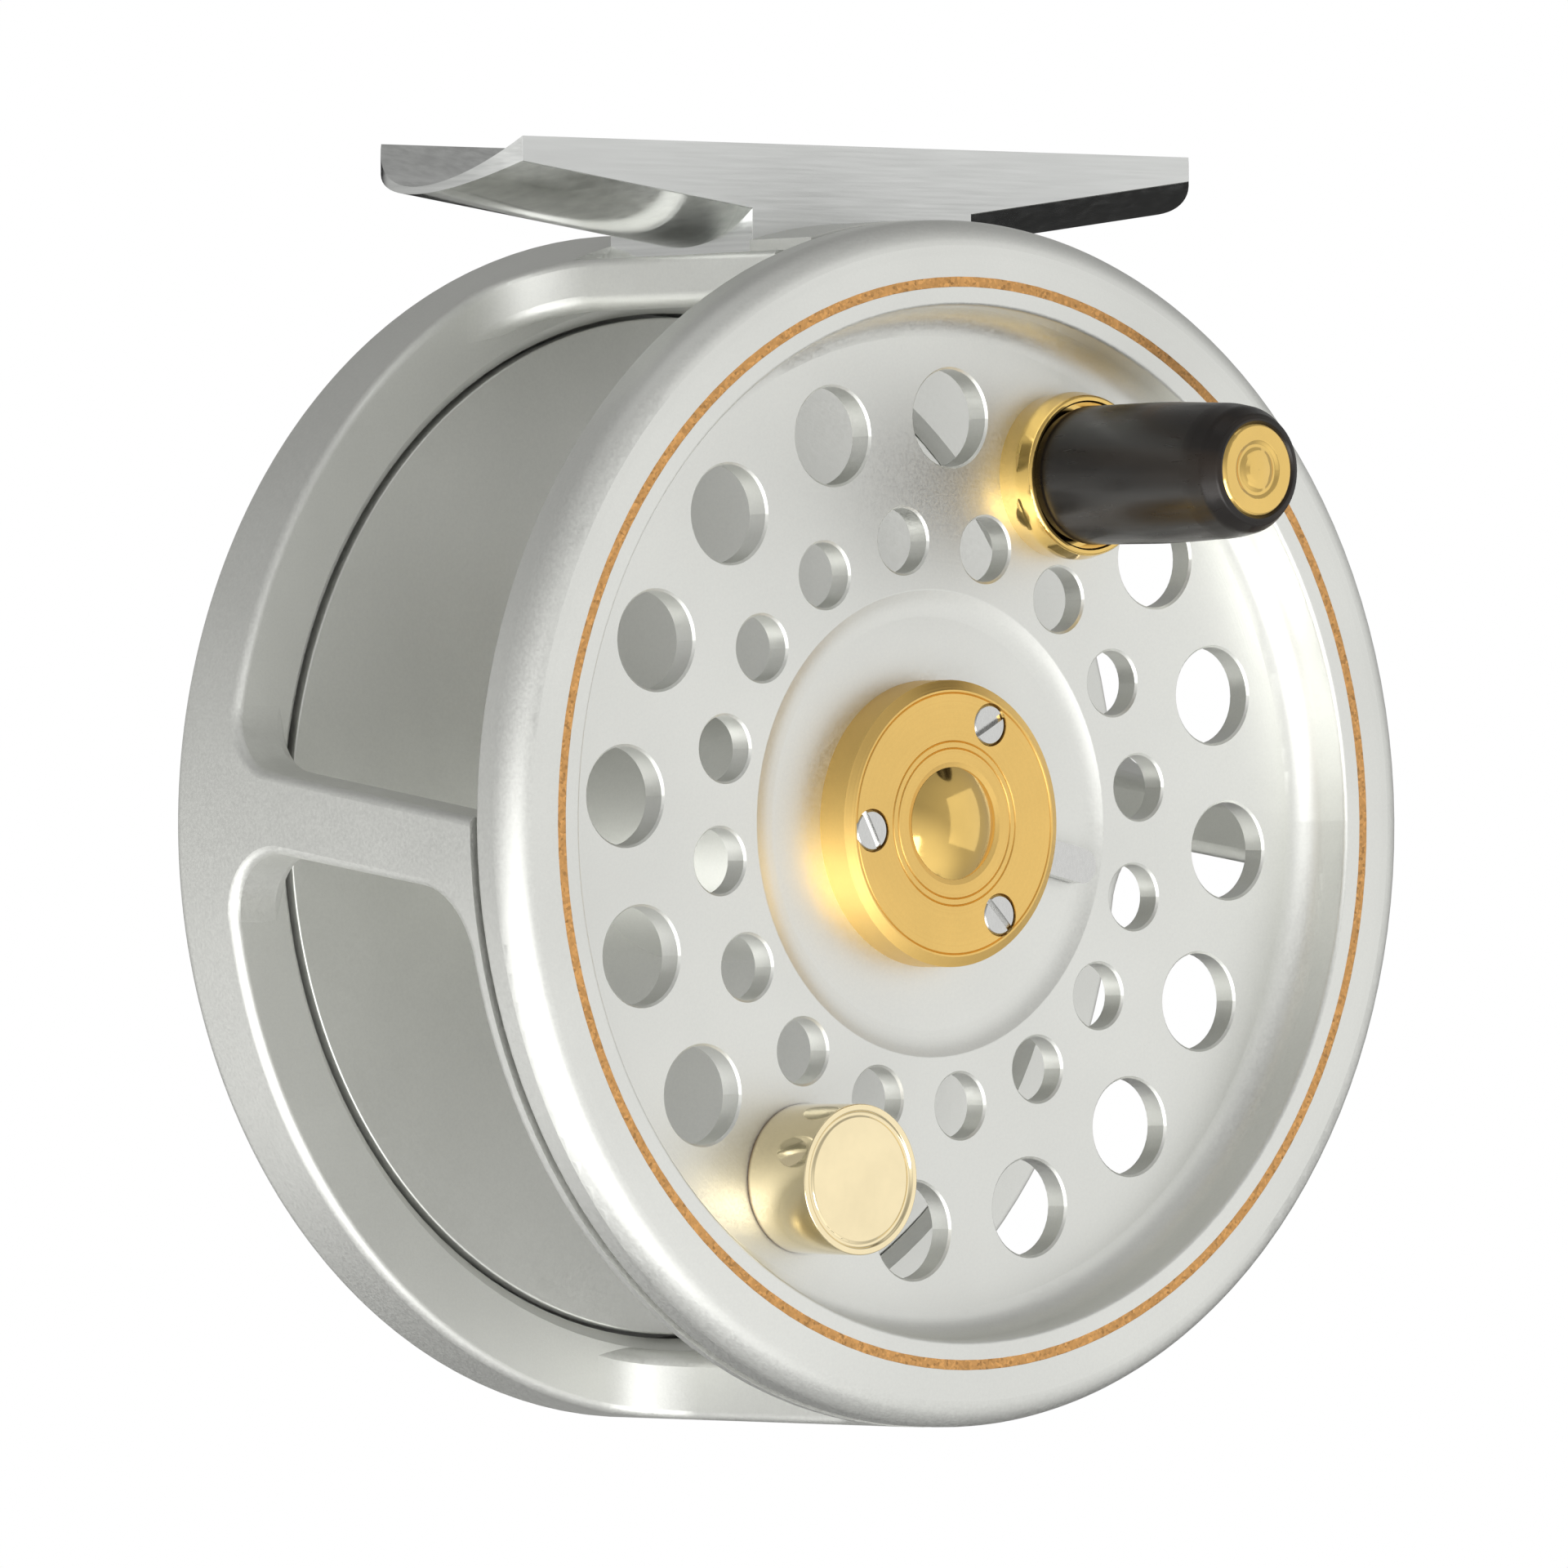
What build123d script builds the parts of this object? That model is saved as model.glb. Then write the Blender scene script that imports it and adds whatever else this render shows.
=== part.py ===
from build123d import *
from math import cos, radians, sin, sqrt, tan
import os

# A fly reel, in millimetres.  It is worked out about the spool's axis: +Y runs to the rear from the
# front face of the rim, +X is on the handle's side and +Z is up towards the rod.  Each node is moved
# as it is saved, so that the origin is the bottom of the saddle on top of the foot.

# --- driving dimensions -------------------------------------------------------------------------
# spool
RIM_R = 39.7
RIM_THICK = 3.75
RIM_ROUND = 1.9
INLAY_OUT_R = 35.91
INLAY_IN_R = 35.24
INLAY_DEPTH = 0.6
DISH_R = 34.0
DISH_COVE = 1.9
WEB_FRONT = 3.9
WEB_BACK = 5.75
FLANGE_R = 34.6
RECESS_R = 15.4
RECESS_FLOOR = 4.39
ARBOR_R = 9.0
ARBOR_BORE_R = 5.0
REAR_FLANGE_R = 34.1
REAR_FLANGE_FRONT = 28.87
REAR_FLANGE_BACK = 30.07

# holes in the web
HOLES_IN_CIRCLE = 16
LARGE_HOLE_R = 3.23
LARGE_PITCH_R = 26.82
LARGE_FIRST_ANGLE = 85.9
SMALL_HOLE_R = 2.16
SMALL_PITCH_R = 18.77
SMALL_FIRST_ANGLE = 97.15
HOLE_CHAMFER = 0.15
HANDLE_HOLE_INDEX = 15
WEIGHT_HOLE_INDEX = 7

# frame
FRAME_R = 39.75
FRAME_FRONT = 4.2
FRONT_RING_BACK = 5.3
PILLAR_IN_R = 35.2
BRIDGE_IN_R = 36.2
RIGHT_PILLAR_LIFT = 0.6
RING_FRONT = 28.55
RING_BORE_R = 34.4
PLATE_R = 36.45
PLATE_INNER = 32.6
FRAME_BACK = 34.2
BRIDGE_HALF_WIDTH = 13.2
BOTTOM_HALF_WIDTH = 3.4
SLOT_FLOOR = 37.55
SLOT_FRONT = 10.27
SLOT_BACK = 24.53
SLOT_END_FLAT = 10.0
WINDOW_EDGE_R = 0.6
WINDOW_INNER_EDGE_R = 1.0
PLATE_SCREW_ANGLES = [30, 90, 150, 210, 270, 330]
PLATE_SCREW_PITCH_R = 35.4
PLATE_SCREW_HEAD_R = 0.85
PLATE_SCREW_R = 0.6
PLATE_SCREW_TIP = 29.8

# foot
FOOT_TOP = 44.85
FOOT_HALF_LENGTH = 29.6
FOOT_END_BULGE = 3.0
SADDLE_R = 9.68
SADDLE_BOTTOM = 41.73
PEDESTAL_HALF_LENGTH = 9.7
WING_UNDER_R = 11.9
WING_TIP_BOTTOM = 40.84
WING_ROOT_BOTTOM = 38.2
FOOT_SCREW_X = 5.2
FOOT_SCREW_R = 1.4
FOOT_SCREW_HEAD_R = 2.4
FOOT_SCREW_TIP = 40.4

# spindle and hub
SPINDLE_R = 3.0
GROOVE_R = 2.3
GROOVE_FRONT = 3.15
GROOVE_BACK = 4.25
SPINDLE_TIP = 2.65
SPINDLE_FLANGE_R = 6.0
SPINDLE_FLANGE_FRONT = 31.6
RUNNING = 0.03
HUB_SCREW_ANGLES = [3.4, 123.4, 243.4]
HUB_SCREW_PITCH_R = 6.7
HUB_SCREW_R = 0.8
HUB_SCREW_HEAD_R = 1.5
HUB_SCREW_TIP = 11.0
GEAR_SCREW_ANGLES = [30, 150, 270]
GEAR_SCREW_PITCH_R = 7.2
GEAR_SCREW_R = 0.8
GEAR_SCREW_HEAD_R = 1.5
GEAR_SCREW_TIP = 25.0
CENTRE_HOLE_R = 3.5

# latch cover
COVER_R = 9.45
COVER_FACE = 1.68
COVER_CHAMFER_R = 8.79
COVER_CHAMFER_Y = 2.05
COVER_ROOF = 2.58
COVER_CAVITY_R = 8.0
DOME_R = 3.71
DOME_HEIGHT = 1.0
COVER_SCREW_PITCH_R = 7.25
COVER_SCREW_ANGLES = [63.4, 183.4, 303.4]
COVER_SCREW_HEAD_R = 1.35
COVER_SCREW_R = 0.75
COVER_SCREW_TIP = 8.5
COVER_BOSS_R = 1.5
LATCH_FRONT = 3.25
LATCH_BACK = 4.15
LATCH_ANGLE = -12.5
LATCH_REACH = 14.4
LATCH_WIDTH = 2.3
LATCH_OFFSET = 0.8
LATCH_HOLE_R = 3.15
LATCH_RING_R = 4.7
LATCH_HUB_R = 1.65
LATCH_RELIEF_R = 1.85
SLEEVE_R = 1.05

# handle and counterweight
HANDLE_X = 11.75
HANDLE_Z = 23.0
COLLAR_R = 5.6
COLLAR_FRONT = 1.05
COLLAR_CUP_R = 4.85
COLLAR_FLOOR = 2.3
GRIP_BASE_R = 4.6
GRIP_BELLY_R = 4.68
GRIP_TIP_R = 4.45
GRIP_TIP = -15.2
CAP_R = 3.1
CAP_SEAT = -12.0
POST_R = 1.5
POST_TIP = -12.9
SLEEVE_OUT_R = 2.3
RIVET_R = 1.3
RIVET_HEAD_R = 2.4
WEIGHT_X = -11.55
WEIGHT_Z = -23.15
WEIGHT_R = 4.93
WEIGHT_FACE = -1.6

# check mechanism, in the space between the spool and the back plate
GEAR_TEETH = 24
GEAR_R = 12.0
GEAR_ROOT_R = 10.9
GEAR_BACK = 31.27
PAWL_FRONT = 30.45
PAWL_BACK = 31.45
PAWL_PIVOT = (-8.0, -13.6)
SPRING_POST = (9.5, -15.9)
REGULATOR = (4.0, -18.25)
CAM_R = 2.4
CAM_OFFSET = 0.8
KNOB_R = 4.2
KNOB_BACK = 36.6
NUT_R = 6.5
NUT_BACK = 37.0
PAWL_POST_R = 1.0
SPRING_POST_R = 0.9
BUSH_R = 2.2
REGULATOR_STEM_R = 1.4

# place of the saddle's bottom, which becomes the origin
SEAT_Y = (SLOT_FRONT + SLOT_BACK) / 2
SEAT_Z = SADDLE_BOTTOM

PAST = 1.0   # how far a cutting tool runs past the surface that it leaves


# --- helpers ------------------------------------------------------------------------------------
def outline(corners):
    """A closed face; each corner is (across, up) or (across, up, rounding radius)."""
    places = [Vector(corner[0], corner[1]) for corner in corners]
    edges = []
    ends = []
    for index, corner in enumerate(corners):
        here = places[index]
        if len(corner) == 2:
            ends.append((here, here))
            continue
        back = (places[index - 1] - here).normalized()
        ahead = (places[(index + 1) % len(places)] - here).normalized()
        half_angle = radians(back.get_angle(ahead)) / 2
        reach = corner[2] / tan(half_angle)
        to_middle = corner[2] / sin(half_angle) - corner[2]
        start = here + back * reach
        finish = here + ahead * reach
        middle = here + (back + ahead).normalized() * to_middle
        edges.append(ThreePointArc(start, middle, finish))
        ends.append((start, finish))
    for index, end in enumerate(ends):
        after = ends[(index + 1) % len(ends)]
        if (end[1] - after[0]).length > 1e-6:
            edges.append(Line(end[1], after[0]))
    return make_face(edges)


def turned(corners, x=0, z=0):
    """A solid turned about an axis along Y; corners are (radius, y, rounding)."""
    return Pos(x, 0, z) * revolve(outline(corners), Axis.Y)


def disc(radius, front, back, x=0, z=0):
    """A solid cylinder along Y between two stations."""
    return Pos(x, (front + back) / 2, z) * Rot(90, 0, 0) * Cylinder(radius, back - front)


def ring(outer, inner, front, back, x=0, z=0):
    """A plain tube along Y between two stations."""
    return disc(outer, front, back, x, z) - disc(inner, front - PAST, back + PAST, x, z)


def plate(corners, front, back):
    """A flat plate across Y; corners are (x, z, rounding)."""
    return extrude(Plane.XZ.offset(-back) * outline(corners), amount=back - front)


def block(low, high):
    """A box between its lowest and highest corners."""
    size = [high[i] - low[i] for i in range(3)]
    centre = [(high[i] + low[i]) / 2 for i in range(3)]
    return Pos(*centre) * Box(*size)


def polar(radius, angle):
    """The (x, z) place at a radius and an angle in degrees, anticlockwise seen from the front."""
    return radius * cos(radians(angle)), radius * sin(radians(angle))


def slotted(screw, head_r, face, x, z, angle, width=0.45, depth=0.4):
    """The screw with a driver's slot cut across its head, at the station face."""
    tool = Box(head_r * 2 + PAST, 2 * depth, width)
    return screw - Pos(x, face, z) * Rot(0, -angle, 0) * tool


def countersunk(x, z, face, tip, shank_r, head_r, slot_angle, head_depth=0.7):
    """A slotted countersunk screw along Y with its flat head at the station face."""
    way = 1 if tip > face else -1
    corners = [
        (0, face),
        (head_r, face),
        (head_r, face + way * 0.15),
        (shank_r, face + way * head_depth),
        (shank_r, tip),
        (0, tip),
    ]
    return slotted(turned(corners, x, z), head_r, face, x, z, slot_angle)


def countersink(x, z, face, tip, shank_r, head_r, head_depth=0.7):
    """The hole that a countersunk screw fills."""
    way = 1 if tip > face else -1
    corners = [
        (0, face - way * PAST),
        (head_r, face - way * PAST),
        (head_r, face + way * 0.15),
        (shank_r, face + way * head_depth),
        (shank_r, tip),
        (0, tip),
    ]
    return turned(corners, x, z)


def save(node, shape):
    """Moves a shape from the spool's axis to the foot's saddle and writes its STEP file."""
    moved = Pos(0, -SEAT_Y, -SEAT_Z) * shape
    export_step(moved, "parts/" + node + ".step")


# --- frame --------------------------------------------------------------------------------------
def side_pillar(side, lift):
    """The slanted pillar at one side, with its round corners into the two rings."""
    rear_reach = RING_FRONT + 1.4
    profile = outline([
        (rear_reach, 9.6),
        (RING_FRONT, 9.6),
        (RING_FRONT, 4.25, 4.4),
        (FRAME_FRONT, 0.6),
        (FRAME_FRONT, -12.0),
        (FRONT_RING_BACK, -12.0),
        (FRONT_RING_BACK, lift - 4.37, 4.8),
        (RING_FRONT, lift - 1.03, 4.4),
        (RING_FRONT, -7.0),
        (rear_reach, -7.0),
    ])
    return extrude(Plane.YZ * profile, amount=side * 45)


def bridge_outline():
    """The plan of the bridge under the foot, widening into the rear ring."""
    rear_reach = RING_FRONT + 1.4
    half = BRIDGE_HALF_WIDTH
    return outline([
        (-half, FRAME_FRONT),
        (half, FRAME_FRONT),
        (half, RING_FRONT, 5.7),
        (half + 7.5, RING_FRONT),
        (half + 7.5, rear_reach),
        (-half - 7.5, rear_reach),
        (-half - 7.5, RING_FRONT),
        (-half, RING_FRONT, 5.7),
    ])


def bottom_outline():
    """The plan of the bottom pillar, widening into both rings."""
    rear_reach = RING_FRONT + 1.4
    half = BOTTOM_HALF_WIDTH
    return outline([
        (-half - 7, FRAME_FRONT),
        (half + 7, FRAME_FRONT),
        (half + 7, FRONT_RING_BACK),
        (half, FRONT_RING_BACK, 4.7),
        (half, RING_FRONT, 4.7),
        (half + 7, RING_FRONT),
        (half + 7, rear_reach),
        (-half - 7, rear_reach),
        (-half - 7, RING_FRONT),
        (-half, RING_FRONT, 4.7),
        (-half, FRONT_RING_BACK, 4.7),
        (-half - 7, FRONT_RING_BACK),
    ])


def plate_screw_places():
    return [polar(PLATE_SCREW_PITCH_R, angle) for angle in PLATE_SCREW_ANGLES]


def foot_screw(x, slot_angle):
    """A low-headed screw that comes up through the bridge into the foot."""
    head_bottom = BRIDGE_IN_R - 0.15
    head_top = head_bottom + 0.85
    head = Pos(x, SEAT_Y, (head_bottom + head_top) / 2) * Cylinder(FOOT_SCREW_HEAD_R - 0.05, 0.85)
    shank = Pos(x, SEAT_Y, (head_top + FOOT_SCREW_TIP) / 2)
    shank = shank * Cylinder(FOOT_SCREW_R, FOOT_SCREW_TIP - head_top)
    slot = Pos(x, SEAT_Y, head_bottom) * Rot(0, 0, slot_angle) * Box(8, 0.7, 0.8)
    return head + shank - slot


def rounded_windows(shell, radius, rounding):
    """Rounds the windows' edges that lie on a cylinder of this radius, but not the frame's front edge."""
    edges = []
    for edge in shell.edges():
        places = [edge.position_at(part / 4) for part in range(5)]
        on_cylinder = all(abs(sqrt(place.X ** 2 + place.Z ** 2) - radius) < 0.02 for place in places)
        stations = [place.Y for place in places]
        if on_cylinder and max(stations) > FRAME_FRONT + 0.01 and max(stations) < RING_FRONT + 0.01:
            edges.append(edge)
    return fillet(edges, rounding)


def cage_frame():
    """The one-piece frame: rear ring, bridge, three pillars and the front half ring."""
    rear_ring = turned([
        (RING_BORE_R, RING_FRONT + 0.8),
        (RING_BORE_R + 0.8, RING_FRONT),
        (FRAME_R, RING_FRONT),
        (FRAME_R, FRAME_BACK, 0.8),
        (PLATE_R + 0.05, FRAME_BACK),
        (PLATE_R + 0.05, PLATE_INNER),
        (RING_BORE_R, PLATE_INNER),
    ])
    shell = ring(FRAME_R, PILLAR_IN_R, FRAME_FRONT, RING_FRONT + 1.4)
    bridge = extrude(bridge_outline(), amount=45) & shell - disc(BRIDGE_IN_R, 0, 40)
    bottom = extrude(bottom_outline(), amount=-45) & shell
    sides = (side_pillar(-1, 0) + side_pillar(1, RIGHT_PILLAR_LIFT)) & shell
    half_ring = ring(FRAME_R, PILLAR_IN_R, FRAME_FRONT, FRONT_RING_BACK)
    half_ring -= block((-45, 0, -9), (45, 10, 45))
    bridge = rounded_windows(bridge, BRIDGE_IN_R, WINDOW_INNER_EDGE_R)
    lower = rounded_windows(sides + bottom + half_ring, PILLAR_IN_R, WINDOW_INNER_EDGE_R)
    frame = rounded_windows(rear_ring + bridge + lower, FRAME_R, WINDOW_EDGE_R)
    frame -= block((-20, SLOT_FRONT, SLOT_FLOOR), (20, SLOT_BACK, 45))
    for low_x, high_x in ((-20, -SLOT_END_FLAT), (SLOT_END_FLAT, 20)):
        frame -= block((low_x, 0, SLOT_FLOOR), (high_x, SLOT_BACK, 45))
    for x in (-FOOT_SCREW_X, FOOT_SCREW_X):
        frame -= Pos(x, SEAT_Y, 37) * Cylinder(FOOT_SCREW_R, 8)
        frame -= Pos(x, SEAT_Y, BRIDGE_IN_R - 1.3) * Cylinder(FOOT_SCREW_HEAD_R, 4)
    for x, z in plate_screw_places():
        frame -= disc(PLATE_SCREW_R, PLATE_SCREW_TIP, FRAME_BACK, x, z)
    return frame


def back_plate():
    """The rear plate, with bosses that carry the check mechanism."""
    body = turned([
        (0, PLATE_INNER),
        (PLATE_R, PLATE_INNER),
        (PLATE_R, FRAME_BACK - 0.1),
        (PLATE_R - 0.1, FRAME_BACK),
        (31.0, FRAME_BACK),
        (30.4, FRAME_BACK - 0.35),
        (14.0, FRAME_BACK - 0.35),
        (13.4, FRAME_BACK),
        (0, FRAME_BACK),
    ])
    body += disc(2.0, PAWL_BACK + 0.1, PLATE_INNER, *PAWL_PIVOT)
    body += disc(2.0, PAWL_BACK + 0.1, PLATE_INNER, *SPRING_POST)
    body -= disc(SPINDLE_R - 0.4, 30, 36)
    body -= disc(PAWL_POST_R, 30, PLATE_INNER + 0.9, *PAWL_PIVOT)
    body -= disc(SPRING_POST_R, 30, PLATE_INNER + 0.9, *SPRING_POST)
    body -= disc(BUSH_R, 30, 36, *REGULATOR)
    for x, z in plate_screw_places():
        body -= countersink(x, z, FRAME_BACK, PLATE_INNER - PAST, PLATE_SCREW_R, PLATE_SCREW_HEAD_R)
    return body


def back_plate_screws():
    screws = []
    for index, (x, z) in enumerate(plate_screw_places()):
        screws.append(countersunk(x, z, FRAME_BACK, PLATE_SCREW_TIP, PLATE_SCREW_R, PLATE_SCREW_HEAD_R,
                                  25 + 67 * index))
    return Compound(screws)


# --- foot ---------------------------------------------------------------------------------------
def foot():
    """The rod foot: saddle on top, two tapering wings and the pedestal that fills the slot."""
    half_width = (SLOT_BACK - SLOT_FRONT) / 2
    end_r = (half_width ** 2 + FOOT_END_BULGE ** 2) / (2 * FOOT_END_BULGE)
    tip = FOOT_HALF_LENGTH + FOOT_END_BULGE
    plan = Polyline((-FOOT_HALF_LENGTH, SLOT_BACK), (FOOT_HALF_LENGTH, SLOT_BACK))
    right = ThreePointArc((FOOT_HALF_LENGTH, SLOT_BACK), (tip, SEAT_Y), (FOOT_HALF_LENGTH, SLOT_FRONT))
    front = Line((FOOT_HALF_LENGTH, SLOT_FRONT), (-FOOT_HALF_LENGTH, SLOT_FRONT))
    left = ThreePointArc((-FOOT_HALF_LENGTH, SLOT_FRONT), (-tip, SEAT_Y), (-FOOT_HALF_LENGTH, SLOT_BACK))
    face = Pos(0, 0, SLOT_FLOOR) * make_face([plan, right, front, left])
    body = extrude(face, amount=FOOT_TOP - SLOT_FLOOR)
    saddle = Pos(0, SEAT_Y, SADDLE_BOTTOM + SADDLE_R) * Rot(0, 90, 0) * Cylinder(SADDLE_R, 90)
    body -= saddle
    rise = WING_TIP_BOTTOM - WING_ROOT_BOTTOM
    run = FOOT_HALF_LENGTH - PEDESTAL_HALF_LENGTH
    slope = atan_degrees(rise, run)
    for side in (-1, 1):
        middle_x = side * (FOOT_HALF_LENGTH + PEDESTAL_HALF_LENGTH) / 2
        middle_z = (WING_TIP_BOTTOM + WING_ROOT_BOTTOM) / 2 + WING_UNDER_R / cos(radians(slope))
        under = Pos(middle_x, SEAT_Y, middle_z) * Rot(0, 90 - side * slope, 0) * Cylinder(WING_UNDER_R, 90)
        near = side * PEDESTAL_HALF_LENGTH
        far = side * (tip + PAST)
        waste = block((min(near, far), SLOT_FRONT - PAST, 30), (max(near, far), SLOT_BACK + PAST, 46))
        body -= waste - under
    for x in (-FOOT_SCREW_X, FOOT_SCREW_X):
        body -= Pos(x, SEAT_Y, (SLOT_FLOOR + FOOT_SCREW_TIP) / 2) * Cylinder(
            FOOT_SCREW_R, FOOT_SCREW_TIP - SLOT_FLOOR)
    return body


def atan_degrees(rise, run):
    return Vector(run, rise).get_angle(Vector(1, 0))


def foot_screws():
    return Compound([foot_screw(-FOOT_SCREW_X, 20), foot_screw(FOOT_SCREW_X, 75)])


# --- spindle and check mechanism ----------------------------------------------------------------
def spindle():
    """The fixed steel post that the spool turns on, with the latch's groove near its tip."""
    return turned([
        (0, SPINDLE_TIP),
        (SPINDLE_R - 0.4, SPINDLE_TIP),
        (SPINDLE_R, SPINDLE_TIP + 0.25),
        (SPINDLE_R, GROOVE_FRONT),
        (GROOVE_R, GROOVE_FRONT),
        (GROOVE_R, GROOVE_BACK),
        (SPINDLE_R, GROOVE_BACK),
        (SPINDLE_R, SPINDLE_FLANGE_FRONT),
        (SPINDLE_FLANGE_R, SPINDLE_FLANGE_FRONT),
        (SPINDLE_FLANGE_R, PLATE_INNER),
        (SPINDLE_R - 0.4, PLATE_INNER),
        (SPINDLE_R - 0.4, NUT_BACK - 0.8),
        (0, NUT_BACK - 0.8),
    ])


def spindle_nut():
    """The slotted nut that holds the spindle to the back plate, and that the reel can rest on."""
    nut = turned([
        (SPINDLE_R - 0.4, FRAME_BACK),
        (NUT_R, FRAME_BACK),
        (NUT_R, NUT_BACK - 0.5),
        (NUT_R - 0.5, NUT_BACK),
        (SPINDLE_R - 0.4, NUT_BACK),
    ])
    for angle in (0, 90):
        nut -= Pos(0, NUT_BACK, 0) * Rot(0, angle, 0) * Box(2 * NUT_R + PAST, 1.2, 1.1)
    return nut


def thrust_washer():
    return ring(SPINDLE_FLANGE_R - 0.6, SPINDLE_R + RUNNING, GEAR_BACK + 0.03, SPINDLE_FLANGE_FRONT)


def check_gear():
    """The toothed wheel on the back of the spool that the pawl clicks over."""
    corners = []
    pitch = 360 / GEAR_TEETH
    for tooth in range(GEAR_TEETH):
        middle = tooth * pitch
        corners.append(polar(GEAR_ROOT_R, middle))
        corners.append(polar(GEAR_R, middle + 0.38 * pitch))
        corners.append(polar(GEAR_R, middle + 0.62 * pitch))
    gear = plate(corners, REAR_FLANGE_BACK, GEAR_BACK)
    gear -= disc(ARBOR_BORE_R, 25, 35)
    for x, z in gear_screw_places():
        gear -= countersink(x, z, GEAR_BACK, REAR_FLANGE_BACK - PAST, GEAR_SCREW_R, GEAR_SCREW_HEAD_R)
    return gear


def click_pawl():
    """The pawl, whose nose lies between two teeth and lifts clear as it turns on its post."""
    pivot_x, pivot_z = PAWL_PIVOT
    pawl = plate([
        (0.0, -GEAR_ROOT_R - 0.3),
        (0.75, -12.6),
        (1.7, -12.6, 0.5),
        (1.7, -14.6, 0.5),
        (-4.0, -14.8, 2.0),
        (pivot_x, pivot_z - 2.0),
        (pivot_x, pivot_z + 2.0),
        (-4.0, -12.8, 2.0),
        (-0.75, -12.6),
    ], PAWL_FRONT, PAWL_BACK)
    pawl += disc(2.0, PAWL_FRONT, PAWL_BACK, pivot_x, pivot_z)
    return pawl - disc(PAWL_POST_R + 0.04, 29, 33, pivot_x, pivot_z)


def pawl_post():
    return disc(PAWL_POST_R, PAWL_FRONT, PLATE_INNER + 0.9, *PAWL_PIVOT)


def spring_post():
    return disc(SPRING_POST_R, PAWL_FRONT, PLATE_INNER + 0.9, *SPRING_POST)


def click_spring():
    """The flat spring, looped round its post, that holds the pawl in the teeth."""
    x, z = SPRING_POST
    thickness = 0.4
    loop = ring(1.55, SPRING_POST_R + 0.02, PAWL_FRONT + 0.1, PAWL_BACK, x, z)
    arm = plate([
        (x, z + 1.5),
        (x, z + 1.5 - thickness),
        (0.0, -14.65 - thickness),
        (-2.4, -15.1 - thickness),
        (-2.4, -15.1),
        (0.0, -14.65),
    ], PAWL_FRONT + 0.1, PAWL_BACK)
    tail = plate([
        (x - 0.2, z - 1.5),
        (x + 4.6, z - 2.2),
        (x + 4.6, z - 2.2 + thickness),
        (x - 0.2, z - 1.5 + thickness),
    ], PAWL_FRONT + 0.1, PAWL_BACK)
    spring = loop + arm + tail
    return spring - disc(SPRING_POST_R + 0.02, 29, 33, x, z)


def regulator_bush():
    """The bush in the back plate that the regulator's stem turns in."""
    bush = turned([
        (REGULATOR_STEM_R + RUNNING, PLATE_INNER),
        (BUSH_R, PLATE_INNER),
        (BUSH_R, FRAME_BACK),
        (BUSH_R + 0.8, FRAME_BACK),
        (BUSH_R + 0.8, FRAME_BACK + 0.35),
        (REGULATOR_STEM_R + RUNNING, FRAME_BACK + 0.35),
    ], *REGULATOR)
    return bush


def regulator_cam():
    """The eccentric on the regulator's stem that bears on the check spring."""
    x, z = REGULATOR
    cam = disc(CAM_R, PAWL_FRONT + 0.2, PAWL_BACK + 0.6, x, z + CAM_OFFSET)
    stem = disc(REGULATOR_STEM_R, PAWL_BACK, KNOB_BACK - 0.9, x, z)
    return cam + stem


def regulator_knob():
    """The small fluted knob at the back that sets the strength of the check."""
    x, z = REGULATOR
    flutes = 18
    knob = turned([
        (REGULATOR_STEM_R, FRAME_BACK + 0.45),
        (KNOB_R, FRAME_BACK + 0.45, 0.3),
        (KNOB_R, KNOB_BACK, 0.4),
        (0, KNOB_BACK),
        (0, KNOB_BACK - 0.9),
        (REGULATOR_STEM_R, KNOB_BACK - 0.9),
    ], x, z)
    for flute in range(flutes):
        dx, dz = polar(KNOB_R + 0.25, flute * 360 / flutes)
        knob -= disc(0.5, FRAME_BACK, KNOB_BACK + PAST, x + dx, z + dz)
    knob -= Pos(x, KNOB_BACK, z + KNOB_R / 2 + 0.2) * Box(0.5, 0.5, KNOB_R)
    return knob


# --- spool --------------------------------------------------------------------------------------
def hub_screw_places():
    return [polar(HUB_SCREW_PITCH_R, angle) for angle in HUB_SCREW_ANGLES]


def gear_screw_places():
    return [polar(GEAR_SCREW_PITCH_R, angle) for angle in GEAR_SCREW_ANGLES]


def cover_screw_places():
    return [polar(COVER_SCREW_PITCH_R, angle) for angle in COVER_SCREW_ANGLES]


def hole_tools(radius, x, z):
    """Cutters for one hole of the web: its bore, and the small chamfer at either mouth."""
    wide = radius + HOLE_CHAMFER
    bore = disc(radius, WEB_FRONT - PAST, WEB_BACK + PAST, x, z)
    front = Pos(x, WEB_FRONT + (HOLE_CHAMFER - PAST) / 2, z) * Rot(-90, 0, 0) * Cone(
        wide + PAST, radius, HOLE_CHAMFER + PAST)
    back = Pos(x, WEB_BACK - (HOLE_CHAMFER - PAST) / 2, z) * Rot(90, 0, 0) * Cone(
        wide + PAST, radius, HOLE_CHAMFER + PAST)
    return [bore, front, back]


def web_holes():
    """The two circles of holes; the outer circle gives up two of its places."""
    tools = []
    step = 360 / HOLES_IN_CIRCLE
    for index in range(HOLES_IN_CIRCLE):
        if index not in (HANDLE_HOLE_INDEX, WEIGHT_HOLE_INDEX):
            tools += hole_tools(LARGE_HOLE_R, *polar(LARGE_PITCH_R, LARGE_FIRST_ANGLE + index * step))
        tools += hole_tools(SMALL_HOLE_R, *polar(SMALL_PITCH_R, SMALL_FIRST_ANGLE + index * step))
    return tools


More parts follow.
